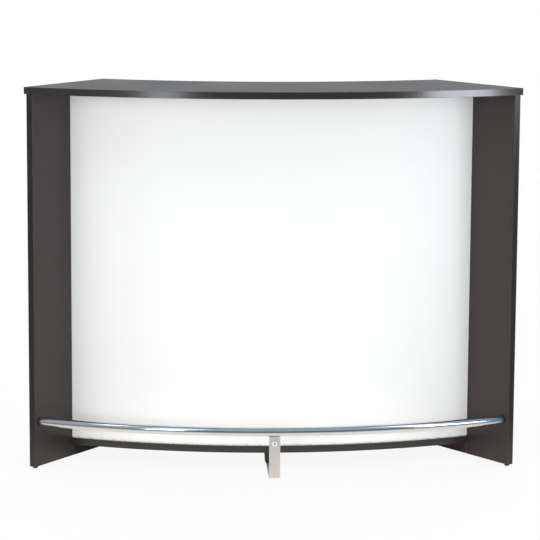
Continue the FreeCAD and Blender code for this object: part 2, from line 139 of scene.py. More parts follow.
def add(tree: NodeTree, kind: str, inputs: Inputs = (), **settings: object) -> Node:
    """Adds one shader node with its settings and links.

    Args:
        tree: the node tree that gets it.
        kind: Blender's name for the kind of node, without the leading ShaderNode.
        inputs: by socket name or number, or in the sockets' order, a value, an output that is linked to the
            socket, or a node whose first active output is linked to it.
        settings: the node's own properties.

    Returns:
        The new node.
    """
    node = tree.nodes.new("ShaderNode" + kind)
    for name, value in settings.items():
        setattr(node, name, value)
    for name, value in inputs.items() if isinstance(inputs, dict) else enumerate(inputs):
        if isinstance(value, Node):
            value = next(output for output in value.outputs if output.enabled)
        if isinstance(value, NodeSocket):
            tree.links.new(value, node.inputs[name])
        else:
            node.inputs[name].default_value = value
    return node


def tone(tree: NodeTree, pattern: Node | NodeSocket, dark: Colour | Node, light: Colour | Node,
         span: Pair = NOISE_SPAN) -> Node:
    """Mixes two colours by a pattern.

    Args:
        tree: the node tree.
        pattern: what gives the pattern's value.
        dark: colour, or node that gives it, where the pattern is at the span's start.
        light: the same at the span's end.
        span: the pattern's values between which the colours mix.

    Returns:
        The node that gives the mixed colour.
    """
    step = add(tree, "MapRange", [pattern, *span])
    return add(tree, "Mix", {0: step, 6: dark, 7: light}, data_type="RGBA")


def from_axis(tree: NodeTree, where: NodeSocket) -> Node:
    """Distance from the upright axis that all bows share: the length of (x, y - ARC_Y, 0).

    Args:
        tree: the node tree.
        where: Object coordinates.

    Returns:
        The node that gives the distance.
    """
    flat = add(tree, "Mapping", {"Vector": where, "Location": (0.0, -ARC_Y, 0.0), "Scale": (1.0, 1.0, 0.0)})
    return add(tree, "VectorMath", [flat], operation="LENGTH")


def across_right(tree: NodeTree, where: NodeSocket, way: Sequence[float]) -> Node:
    """Distance along a direction on the right half, which the left one mirrors: (|x|, y, z) dot way.

    Args:
        tree: the node tree.
        where: Object coordinates.
        way: the direction, of unit length.

    Returns:
        The node that gives the distance.
    """
    split = add(tree, "SeparateXYZ", [where])
    right = add(tree, "Math", [split.outputs[0]], operation="ABSOLUTE")
    folded = add(tree, "CombineXYZ", [right, split.outputs[1], split.outputs[2]])
    return add(tree, "VectorMath", [folded, tuple(way)], operation="DOT_PRODUCT")


# Finishes


@dataclass(frozen=True)
class Finish:
    """A named surface on one Principled shader; a subclass paints its pattern.

    Sizes of patterns and the depth of the relief are in millimetres. Shades are shares of the colour's light,
    and uneven is how far the roughness strays, both from where the pattern is low to where it is high.
    """

    name: str
    colour: str
    roughness: float
    sheen: float = 0.5
    metal: float = 0.0
    uneven: Pair = (0.0, 0.0)
    uneven_span: Pair = NOISE_SPAN
    depth: float = 0.0

    def make(self) -> Material:
        """Makes the material.

        Returns:
            The material with its pattern in place.
        """
        material = bpy.data.materials.new(self.name)
        tree = bare_tree(material)
        colour, rough, relief = self.paint(tree, add(tree, "TexCoord").outputs["Object"])
        spread = (self.roughness + stray for stray in self.uneven)
        surface = add(tree, "BsdfPrincipled", {
            "Base Color": colour,
            "Roughness": add(tree, "MapRange", [rough, *self.uneven_span, *spread]),
            "Metallic": self.metal,
            "Specular IOR Level": self.sheen,
            "Normal": add(tree, "Bump", {"Strength": 1.0, "Distance": self.depth * MM, "Height": relief}),
        })
        add(tree, "OutputMaterial", [surface])
        return material

    def paint(self, tree: NodeTree, where: NodeSocket) -> Paint:
        """Adds the pattern of this finish.

        Args:
            tree: the material's nodes.
            where: Object coordinates.

        Returns:
            Colour, roughness pattern and relief.
        """
        raise NotImplementedError


@dataclass(frozen=True)
class MelamineBoard(Finish):
    """Melamine-faced chipboard, pressed against an embossed plate."""

    sheen: float = 0.4
    uneven: Pair = (-0.02, 0.02)
    depth: float = 0.012
    # The real pearl is about 0.4 mm wide. It is drawn four times as coarse, or it would not show.
    pearl: float = 1.6
    pearl_shades: Pair = (0.9, 1.1)
    cloud: float = 120.0
    cloud_shades: Pair = (0.97, 1.03)
    bare: bool = False
    sawn_span: Pair = (0.4, 0.6)
    # Bare chipboard, darker than the real board: partly its own colour, partly painted shade as in the
    # groove.
    shaded_chip: str = "7A6F64"
    flake: float = 4.0
    flake_shades: Pair = (0.6, 1.15)
    groove: Pair = (1.3650, 1.3700)
    groove_depth: float = 0.008

    def paint(self, tree: NodeTree, where: NodeSocket) -> Paint:
        """Satin pearl of tiny dents, faint clouds in the print, bare chipboard with painted shade where sawn.

        Args:
            tree: the material's nodes.
            where: Object coordinates.

        Returns:
            Colour, roughness pattern and relief.
        """
        pearl = add(tree, "TexNoise", {"Vector": where, "Scale": per_mm(self.pearl), "Detail": 1.0})
        cloud = add(tree, "TexNoise", {"Vector": where, "Scale": per_mm(self.cloud), "Detail": 3.0})
        fine = tone(tree, pearl, *shades(self.colour, self.pearl_shades))
        shade = tone(tree, cloud, *shades(WHITE, self.cloud_shades))
        colour = add(tree, "Mix", {0: 1.0, 6: fine, 7: shade}, data_type="RGBA", blend_type="MULTIPLY")
        if self.bare:
            # Sawn parts show bare chipboard, its colour darkened with painted shade.
            flake = add(tree, "TexNoise", {"Vector": where, "Scale": per_mm(self.flake), "Detail": 4.0})
            shaded_chips = tone(tree, flake, *shades(self.shaded_chip, self.flake_shades))
            colour = tone(tree, self.sawn(tree, where), colour, shaded_chips, self.sawn_span)
        return colour, cloud, pearl

    def sawn(self, tree: NodeTree, where: NodeSocket) -> Node:
        """Marks the unbanded foot of a side board, which faces down, and the panel's groove in it.

        The groove lies between two distances from the bows' axis, down to its depth in the inner face.

        Args:
            tree: the material's nodes.
            where: Object coordinates.

        Returns:
            The node that gives 1 on sawn chipboard and 0 elsewhere.
        """
        facing = add(tree, "SeparateXYZ", [add(tree, "TexCoord").outputs["Normal"]])
        down = (-0.9, -0.8)
        foot = add(tree, "MapRange", [facing.outputs[2], *down, 1.0, 0.0])
        low, high = self.groove
        ring = [from_axis(tree, where), (low + high) / 2, (high - low) / 2]
        half, clear = self.groove_depth / 2, 0.1 * MM
        slab = [across_right(tree, where, INWARD), SIDE_EDGE + INNER_FACE - half - clear, half]
        within = [add(tree, "Math", stretch, operation="COMPARE") for stretch in (ring, slab)]
        cut = add(tree, "Math", within, operation="MULTIPLY")
        return add(tree, "Math", [foot, cut], operation="MAXIMUM")


@dataclass(frozen=True)
class EdgeBand(Finish):
    """Extruded ABS edge band, glued on and scraped flush, with its arrises rubbed pale.

    Way is the direction across the band, and lines are the places of its arrises on it.
    """

    uneven: Pair = (-0.06, 0.06)
    depth: float = 0.01
    way: Point = (0.0, 0.0, 1.0)
    lines: tuple[float, ...] = ()
    # Real draw lines are about 0.1 mm apart. They are drawn nine times as coarse, or they would not show.
    draw: float = 0.9
    patch: float = 60.0
    patch_shades: Pair = (0.93, 1.08)
    worn: str = "55514F"
    rub: float = 1.4
    rub_most: float = 0.75
    rub_patch: float = 9.0
    rub_span: Pair = (0.1, 0.7)

    def paint(self, tree: NodeTree, where: NodeSocket) -> Paint:
        """Fine draw lines along the band in a satin gloss, and a thin pale rub along each arris.

        Args:
            tree: the material's nodes.
            where: Object coordinates.

        Returns:
            Colour, roughness pattern and relief.
        """
        across = across_right(tree, where, self.way)
        size = per_mm(self.draw)
        draw = add(tree, "TexNoise", {"W": across, "Scale": size, "Detail": 2.0}, noise_dimensions="1D")
        patch = add(tree, "TexNoise", {"Vector": where, "Scale": per_mm(self.patch), "Detail": 3.0})
        rubbed = add(tree, "TexNoise", {"Vector": where, "Scale": per_mm(self.rub_patch), "Detail": 4.0})
        colour = tone(tree, patch, *shades(self.colour, self.patch_shades))
        for line in self.lines:
            gap = add(tree, "Math", [across, line], operation="SUBTRACT")
            near = add(tree, "Math", [gap], operation="ABSOLUTE")
            edge = add(tree, "MapRange", [near, 0.0, self.rub * MM, self.rub_most, 0.0])
            wear = add(tree, "Math", [edge, rubbed], operation="MULTIPLY")
            colour = tone(tree, wear, colour, linear(self.worn), self.rub_span)
        return colour, draw, draw


@dataclass(frozen=True)
class LacquerPanel(Finish):
    """Thin hardboard, roller-lacquered on the guest side and raw and rougher behind.

    The lacquer ends between two shares of the thickness, counted from its face.
    """

    uneven: Pair = (0.35, 0.0)
    uneven_span: Pair = (0.0, 1.0)
    depth: float = 0.006
    face_radius: float = 1.369
    thickness: float = 0.003
    lacquer_end: Pair = (0.4, 0.3)
    peel: float = 2.6
    cloud: float = 160.0
    cloud_shades: Pair = (0.985, 1.0)
    fibre: str = "8B6747"
    # Real fibres are about 0.1 mm wide. They are drawn as strands of 1.5 mm, or they would not show.
    strand: float = 1.5
    strand_shades: Pair = (0.7, 1.25)

    def paint(self, tree: NodeTree, where: NodeSocket) -> Paint:
        """White satin with a faint roller peel in front, brown pressed fibres behind.

        Args:
            tree: the material's nodes.
            where: Object coordinates.

        Returns:
            Colour, roughness pattern and relief.
        """
        ends = (self.face_radius - share * self.thickness for share in self.lacquer_end)
        front = add(tree, "MapRange", [from_axis(tree, where), *ends])
        peel = add(tree, "TexNoise", {"Vector": where, "Scale": per_mm(self.peel), "Detail": 1.0})
        cloud = add(tree, "TexNoise", {"Vector": where, "Scale": per_mm(self.cloud), "Detail": 2.0})
        strand = add(tree, "TexNoise", {"Vector": where, "Scale": per_mm(self.strand), "Detail": 5.0})
        lacquer = tone(tree, cloud, *shades(self.colour, self.cloud_shades))
        board = tone(tree, strand, *shades(self.fibre, self.strand_shades))
        return add(tree, "Mix", {0: front, 6: board, 7: lacquer}, data_type="RGBA"), front, peel


@dataclass(frozen=True)
class ChromePlate(Finish):
    """Steel tube, polished lengthwise and chrome plated; radius is that of its bend."""

    metal: float = 1.0
    uneven: Pair = (-0.008, 0.012)
    depth: float = 0.0002
    radius: float = 1.508
    # Real polish lines are about 0.05 mm wide. They are drawn 0.8 mm wide, or they would not show.
    polish: float = 0.8
    # The pattern reads this share of the true length along the tube, so that its cells come out long.
    stretch: float = 0.03
    wipe: float = 45.0
    wipe_shades: Pair = (0.94, 1.0)

    def paint(self, tree: NodeTree, where: NodeSocket) -> Paint:
        """A hard mirror, broken by faint polish lines along the tube and a few dull wipes.

        Args:
            tree: the material's nodes.
            where: Object coordinates.

        Returns:
            Colour, roughness pattern and relief.
        """
        split = add(tree, "SeparateXYZ", [where])
        back = add(tree, "Math", [ARC_Y, split.outputs[1]], operation="SUBTRACT")
        turn = add(tree, "Math", [split.outputs[0], back], operation="ARCTAN2")
        run = add(tree, "Math", [turn, self.stretch * self.radius], operation="MULTIPLY")
        along = add(tree, "CombineXYZ", [run, from_axis(tree, where), split.outputs[2]])
        polish = add(tree, "TexNoise", {"Vector": along, "Scale": per_mm(self.polish), "Detail": 3.0})
        wipe = add(tree, "TexNoise", {"Vector": where, "Scale": per_mm(self.wipe), "Detail": 3.0})
        return tone(tree, wipe, *shades(self.colour, self.wipe_shades)), polish, polish


@dataclass(frozen=True)
class CoatedStrip(Finish):
    """Steel strip, powder coated silver grey."""

    metal: float = 0.25
    uneven: Pair = (-0.06, 0.06)
    depth: float = 0.015
    # Real flakes are about 0.05 mm wide. They are drawn 0.7 mm wide, or they would not show.
    flake: float = 0.7
    flake_shades: Pair = (0.88, 1.1)
    peel: float = 2.2
    scuff: float = 14.0
    scuff_shade: float = 0.9
    scuff_span: Pair = (0.6, 0.75)

    def paint(self, tree: NodeTree, where: NodeSocket) -> Paint:
        """A matt warm grey of fine flakes with a slight orange peel.

        Args:
            tree: the material's nodes.
            where: Object coordinates.

        Returns:
            Colour, roughness pattern and relief.
        """
        flake = add(tree, "TexNoise", {"Vector": where, "Scale": per_mm(self.flake), "Detail": 1.0})
        peel = add(tree, "TexNoise", {"Vector": where, "Scale": per_mm(self.peel), "Detail": 2.0})
        scuff = add(tree, "TexNoise", {"Vector": where, "Scale": per_mm(self.scuff), "Detail": 5.0})
        fine = tone(tree, flake, *shades(self.colour, self.flake_shades))
        return tone(tree, scuff, fine, linear(self.colour, self.scuff_shade), self.scuff_span), peel, peel


@dataclass(frozen=True)
class MouldedPlastic(Finish):
    """Injection-moulded plastic from a spark-eroded mould."""

    uneven: Pair = (-0.08, 0.1)
    depth: float = 0.02
    # The real grain is about 0.1 mm wide. It is drawn 0.8 mm wide, or it would not show.
    grain: float = 0.8
    scuff: float = 7.0
    scuff_shade: float = 1.5
    scuff_haze: float = 0.01
    scuff_span: Pair = (0.5, 0.85)

    def paint(self, tree: NodeTree, where: NodeSocket) -> Paint:
        """Even colour with a fine matt grain, scuffed paler here and there.

        Args:
            tree: the material's nodes.
            where: Object coordinates.

        Returns:
            Colour, roughness pattern and relief.
        """
        grain = add(tree, "TexNoise", {"Vector": where, "Scale": per_mm(self.grain), "Detail": 2.0})
        scuff = add(tree, "TexNoise", {"Vector": where, "Scale": per_mm(self.scuff), "Detail": 4.0})
        pale = (*(part + self.scuff_haze for part in linear(self.colour, self.scuff_shade)[:3]), 1.0)
        return tone(tree, scuff, linear(self.colour), pale, self.scuff_span), grain, grain


@dataclass(frozen=True)
class PlatedSteel(Finish):
    """Turned or stamped steel with a thin plated coat.

    Socket is the X, Z and radius of a round patch over a hex socket, darkened with painted shade.
    """

    metal: float = 1.0
    uneven: Pair = (0.1, -0.05)
    depth: float = 0.003
    blotch: str = "8F9094"
    cloud: float = 3.0
    # Real tool marks are about 0.05 mm wide. They are drawn 0.4 mm wide, or they would not show.
    marks: float = 0.4
    socket: Point | None = None
    # Colour of the painted shade in the socket, and its edge as shares of the socket's radius.
    socket_shade: str = "4C4D50"
    socket_shade_end: Pair = (0.9, 1.1)

    def paint(self, tree: NodeTree, where: NodeSocket) -> Paint:
        """Greyish metal with a cloudy passivated coat, fine tool marks and painted shade in a socket.

        Args:
            tree: the material's nodes.
            where: Object coordinates.

        Returns:
            Colour, roughness pattern and relief.
        """
        cloud = add(tree, "TexNoise", {"Vector": where, "Scale": per_mm(self.cloud), "Detail": 4.0})
        marks = add(tree, "TexNoise", {"Vector": where, "Scale": per_mm(self.marks), "Detail": 2.0})
        colour = tone(tree, cloud, linear(self.blotch), linear(self.colour))
        # Painted shade: a darker round patch over the socket, where the recess lies in shade.
        if self.socket:
            x, z, radius = self.socket
            flat = add(tree, "Mapping",
                       {"Vector": where, "Location": (-x, 0.0, -z), "Scale": (1.0, 0.0, 1.0)})
            off = add(tree, "VectorMath", [flat], operation="LENGTH")
            edge = tuple(share * radius for share in self.socket_shade_end)
            colour = tone(tree, off, linear(self.socket_shade), colour, edge)
        return colour, cloud, marks


@dataclass(frozen=True)
class TurnedBeech(Finish):
    """Beech rod, turned and fluted."""

    uneven: Pair = (0.1, 0.0)
    depth: float = 0.05
    ray: str = "A87B4F"
    fleck: float = 0.8
    fleck_span: Pair = (0.35, 0.55)
    stretch: float = 0.12

    def paint(self, tree: NodeTree, where: NodeSocket) -> Paint:
        """Pale pinkish wood with short darker flecks along the grain.

        Args:
            tree: the material's nodes.
            where: Object coordinates.

        Returns:
            Colour, roughness pattern and relief.
        """
        long = add(tree, "Mapping", {"Vector": where, "Scale": (1.0, 1.0, self.stretch)})
        fleck = add(tree, "TexNoise", {"Vector": long, "Scale": per_mm(self.fleck), "Detail": 4.0})
        return tone(tree, fleck, linear(self.ray), linear(self.colour), self.fleck_span), fleck, fleck


# Shapes


def full_turn(steps: int) -> np.ndarray:
    """Angles of equal steps round a circle."""
    return np.linspace(0.0, 2 * math.pi, steps, endpoint=False)


@dataclass
class Shell:
    """A surface of four-cornered faces.

    Fields: points, an array of n by 3; faces, an array of m by 4 point numbers.
    """

    points: np.ndarray
    faces: np.ndarray

    @classmethod
    def grid(cls, points: np.ndarray, round_rows: bool = True, round_columns: bool = True) -> Shell:
        """Joins neighbouring points of a grid with faces.

        Args:
            points: array of rows by columns by 3.
            round_rows: the last row joins the first.
            round_columns: the last column joins the first.

        Returns:
            The surface.
        """
        rows, columns = points.shape[:2]
        number = np.arange(rows * columns).reshape(rows, columns)
        if round_rows:
            number = np.concatenate([number, number[:1]], axis=0)
        if round_columns:
            number = np.concatenate([number, number[:, :1]], axis=1)
        corners = (number[:-1, :-1], number[1:, :-1], number[1:, 1:], number[:-1, 1:])
        return cls(points.reshape(-1, 3), np.stack(corners, axis=-1).reshape(-1, 4))

    @classmethod
    def turned(cls, profile: np.ndarray, turns: int, closed: bool = False) -> Shell:
        """Carries a profile round the Z axis: (r cos a, r sin a, z).

        Args:
            profile: array of n by 2, radius and height, or n by turns by 2 if it changes on the way round.
            turns: number of steps round the axis.
            closed: the profile's end joins its start, as in a ring.

        Returns:
            The turned surface.
        """
        angle = full_turn(turns)
        shape = profile if profile.ndim == 3 else profile[:, None, :] + np.zeros((1, turns, 1))
        radius, height = shape[..., 0], shape[..., 1]
        points = np.stack([radius * np.cos(angle), radius * np.sin(angle), height], axis=-1)
        return cls.grid(points, round_rows=closed)

    def placed(self, origin: np.ndarray, axis: np.ndarray, aside: np.ndarray) -> Shell:
        """Moves the surface so that its Z axis lies along axis.

        Args:
            origin: where its own origin goes.
            axis: unit direction of its Z axis.
            aside: unit direction of its X axis, square to axis.

        Returns:
            The moved surface.
        """
        turn = np.stack([aside, np.cross(axis, aside), axis])
        return Shell(self.points @ turn + origin, self.faces)

    def mirrored(self) -> Shell:
        """The same surface on the other side of the middle plane X = 0."""
        return Shell(self.points * (-1.0, 1.0, 1.0), self.faces[:, ::-1])

    def joined(self, other: Shell) -> Shell:
        """This surface and another as one."""
        return Shell(np.concatenate([self.points, other.points]),
                     np.concatenate([self.faces, other.faces + len(self.points)]))

    def piece(self, name: str, finish: Material, crease: float = 40.0) -> Object:
        """Makes the Blender object, with poles merged, faces outwards and smooth up to the crease angle.

        Args:
            name: the piece's name.
            finish: its material.
            crease: edges sharper than this many degrees stay sharp.

        Returns:
            The object, at the origin.
        """
        mesh = bpy.data.meshes.new(name)
        mesh.from_pydata(self.points.tolist(), [], self.faces.tolist())
        work = bmesh.new()
        work.from_mesh(mesh)
        bmesh.ops.remove_doubles(work, verts=work.verts, dist=1e-7)
        bmesh.ops.recalc_face_normals(work, faces=work.faces)
        work.to_mesh(mesh)
        work.free()
        mesh.polygons.foreach_set("use_smooth", np.ones(len(mesh.polygons), bool))
        mesh.set_sharp_from_angle(angle=math.radians(crease))
        mesh.materials.append(finish)
        thing = bpy.data.objects.new(name, mesh)
        bpy.context.scene.collection.objects.link(thing)
        return thing


def arc(radius: float, start: float, end: float, steps: int, middle: Pair) -> np.ndarray:
    """Points of a quarter turn or other arc in a profile: middle + radius (cos a, sin a).

    Args:
        radius: the arc's radius.
        start: first angle in degrees.
        end: last angle in degrees.
        steps: number of points.
        middle: the arc's centre, radius and height.

    Returns:
        Array of steps by 2.
    """
    angle = np.radians(np.linspace(start, end, steps))
    return np.stack([middle[0] + radius * np.cos(angle), middle[1] + radius * np.sin(angle)], axis=-1)


def on_side(run: float, deep: float, level: float) -> np.ndarray:
    """A point by the right side: run along the worktop's edge, deep in from it, level above the floor."""
    return np.array([*SIDE_CORNER, level]) + ALONG * run + INWARD * deep


def thread(radius: float, length: float, pitch: float, turns: int) -> np.ndarray:
    """Profile of a threaded shank below Z = 0, with a ridge that climbs one pitch on each way round.

    The radius is R - d |2 f - 1|, where d is half the pitch and f is the fraction left of
    z / pitch + angle / full turn.

    Args:
        radius: the thread's outer radius.
        length: the shank's length.
        pitch: distance between two ridges.
        turns: steps round the axis.

    Returns:
        Array of n by turns by 2, from under the head to the tip's middle.
    """
    lead, soft, rows = 0.6 * pitch, 0.3 * pitch, 6
    level = np.arange(lead, length - lead, pitch / rows)[:, None]
    share = level / pitch + np.linspace(0.0, 1.0, turns, endpoint=False)
    ridge = radius - 0.5 * pitch * np.abs(2 * (share % 1.0) - 1.0)
    ridges = np.stack([ridge, -level + 0.0 * share], axis=-1)
    core = radius - lead
    tip = np.array([(core, -length + soft), (core - soft, -length), (0.0, -length)])
    plain = np.zeros((1, turns, 1))
    start = np.array([(radius, 0.0), (radius, -soft)])
    return np.concatenate([start[:, None] + plain, ridges, tip[:, None] + plain])


def pan_screw(radius: float, tall: float, shank: float, length: float, turns: int = 96) -> Shell:
    """Screw on the Z axis with a domed cross-recess head above Z = 0 and a threaded shank below.

    The head is h (1 - (r / R)^3) over a short rim, less a cross of two bars. Their sides slope, and lie open
    by a share of the slope at the bars' own outline.

    Args:
        radius: the head's radius.
        tall: the head's height.
        shank: the thread's outer radius.
        length: the shank's length.
        turns: steps round the axis.

    Returns:
        The closed screw.
    """
    rim, depth, pitch, rings = 0.25 * tall, 0.62 * tall, 1.0 * MM, 42
    angle = full_turn(turns)
    r = np.linspace(0.0, radius, rings)[:, None] + 0.0 * angle
    x, y = np.abs(r * np.cos(angle)), np.abs(r * np.sin(angle))
    arm, width, slope, open_share = 0.62 * radius, 0.13 * radius, 0.11 * radius, 0.4
    bars = np.minimum(np.maximum(x - arm, y - width), np.maximum(y - arm, x - width))
    cross = np.clip(open_share - bars / slope, 0.0, 1.0)
    z = rim + (tall - rim) * (1.0 - (r / radius) ** 3) - depth * cross
    under = np.array([(radius, 0.0)])[:, None] + np.zeros((1, turns, 1))
    profile = np.concatenate([np.stack([r, z], axis=-1), under, thread(shank, length, pitch, turns)])
    return Shell.turned(profile, turns)


def button_screw(radius: float, tall: float, shank: float, length: float, flats: float,
                 turns: int = 96) -> Shell:
    """Screw on the Z axis with a button head above Z = 0, a hexagon socket in it and a threaded shank below.

    The socket's rows have the hexagon's radius, half its flats over cos of the angle from the nearest flat's
    middle; the dome is a quarter of an ellipse from the socket's lip to a short rim.

    Args:
        radius: the head's radius.
        tall: the head's height.
        shank: the thread's outer radius.
        length: the shank's length.
        flats: width of the socket across its flats.
        turns: steps round the axis.

    Returns:
        The closed screw.
    """
    angle = full_turn(turns)
    sixth = math.pi / 3
    hexagon = 0.5 * flats / np.cos((angle + sixth / 2) % sixth - sixth / 2)
    floor, lip, soft, cone = 0.38 * tall, 0.2 * MM, 0.1 * MM, 0.5 * MM
    rows = [(0.0 * angle, floor - cone), (0.9 * hexagon, floor), (hexagon, floor + soft),
            (hexagon, tall - lip), (hexagon + lip, tall)]
    well = np.stack([np.stack([r, np.full(turns, z)], axis=-1) for r, z in rows])
    flat, rim, pitch, steps = 0.55 * radius, 0.14 * tall, 1.25 * MM, 16
    turn = np.linspace(0.0, math.pi / 2, steps)
    dome = np.stack([flat + (radius - flat) * np.sin(turn), rim + (tall - rim) * np.cos(turn)], axis=-1)
    under = np.array([(radius, soft), (radius - soft, 0.0)])
    plain = np.zeros((1, turns, 1))
    head = np.concatenate([well, dome[:, None] + plain, under[:, None] + plain])
    return Shell.turned(np.concatenate([head, thread(shank, length, pitch, turns)]), turns)


def settle(piece: Object, slot: Slot, *nodes: str) -> None:
    """Rides a new piece on the carcass and hides the nodes it stands for.

    Args:
        piece: the finished piece.
        slot: the record's slot of its finish; not used.
        nodes: CAD nodes that it replaces.
    """
    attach(piece, CARCASS)
    if nodes:
        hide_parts(*nodes)
    LOG.info("%s: %d faces", piece.name, len(piece.data.polygons))


def dress(finish: Material, *nodes: str) -> None:
    """Gives CAD nodes their material.

    Args:
        finish: the material.
        nodes: names of the nodes.
    """
    for node in nodes:
        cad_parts[node].material_slots[0].material = finish
        LOG.info("%s: %s", node, finish.name)


# Sub-assemblies


@dataclass
class Boards:
    """Worktop, sides, shelves and middle board with their edge bands."""

    height: float = 1.048
    toe: float = 0.039
    fixed: float = 0.432
    loose: float = 0.736
    colour: str = "302A28"
    gloss: float = 0.36
    top_gloss: float = 0.4
    top_sheen: float = 0.39
    band_colour: str = "2C2826"
    band_gloss: float = 0.21

    def dress(self) -> None:
        """Gives every board its melamine and every band its worn arrises."""
        top = MelamineBoard("laminate_embossed_graphite", self.colour, self.top_gloss, sheen=self.top_sheen)
        dress(top.make(), "worktop")
        melamine = MelamineBoard("melamine_embossed_graphite", self.colour, self.gloss)
        dress(melamine.make(), "bottom_shelf", "middle_board", "right_fixed_shelf", "left_fixed_shelf",
              "right_loose_shelf", "left_loose_shelf")
        sides = MelamineBoard("melamine_embossed_graphite_sawn", self.colour, self.gloss, bare=True)
        dress(sides.make(), "right_side_board", "left_side_board")
        dress(self.flat_band("worktop", self.height - BOARD, sheen=1.0), "worktop_edge_band")
        dress(self.flat_band("bottom", self.toe), "bottom_shelf_edge_bands")
        for name, low in (("fixed", self.fixed), ("loose", self.loose)):
            band = self.flat_band(name, low)
            dress(band, f"right_{name}_shelf_edge_band", f"left_{name}_shelf_edge_band")
        arrises = (SIDE_EDGE + OVERHANG, SIDE_EDGE + INNER_FACE)
        side = EdgeBand("abs_band_side", self.band_colour, self.band_gloss, way=tuple(INWARD), lines=arrises)
        dress(side.make(), "right_side_edge_bands", "left_side_edge_bands")
        middle = EdgeBand("abs_band_middle", self.band_colour, self.band_gloss, way=(1.0, 0.0, 0.0),
                          lines=(BOARD / 2,))
        dress(middle.make(), "middle_board_edge_band")

    def flat_band(self, name: str, low: float, sheen: float = 0.5) -> Material:
        """Band of a lying board, worn at its lower and upper arris.

        Args:
            name: the board's name.
            low: level of its lower face.
            sheen: how much the band mirrors, 1 where it is buffed.

        Returns:
            The band's material.
        """
        arrises = (low, low + BOARD)
        band = EdgeBand("abs_band_" + name, self.band_colour, self.band_gloss, sheen=sheen, lines=arrises)
        return band.make()


@dataclass
class FrontPanel:
    """Bowed panel and the pins that stop its foot."""

    def dress(self) -> None:
        """Gives the panel its two faces and the pins their bright steel."""
        dress(LacquerPanel("hardboard_white_lacquer", "F7F7F6", 0.4).make(), "front_panel")
        dress(PlatedSteel("steel_brads_bright", "D0D2D4", 0.35, blotch="A5A7AA").make(), "panel_stop_pins")


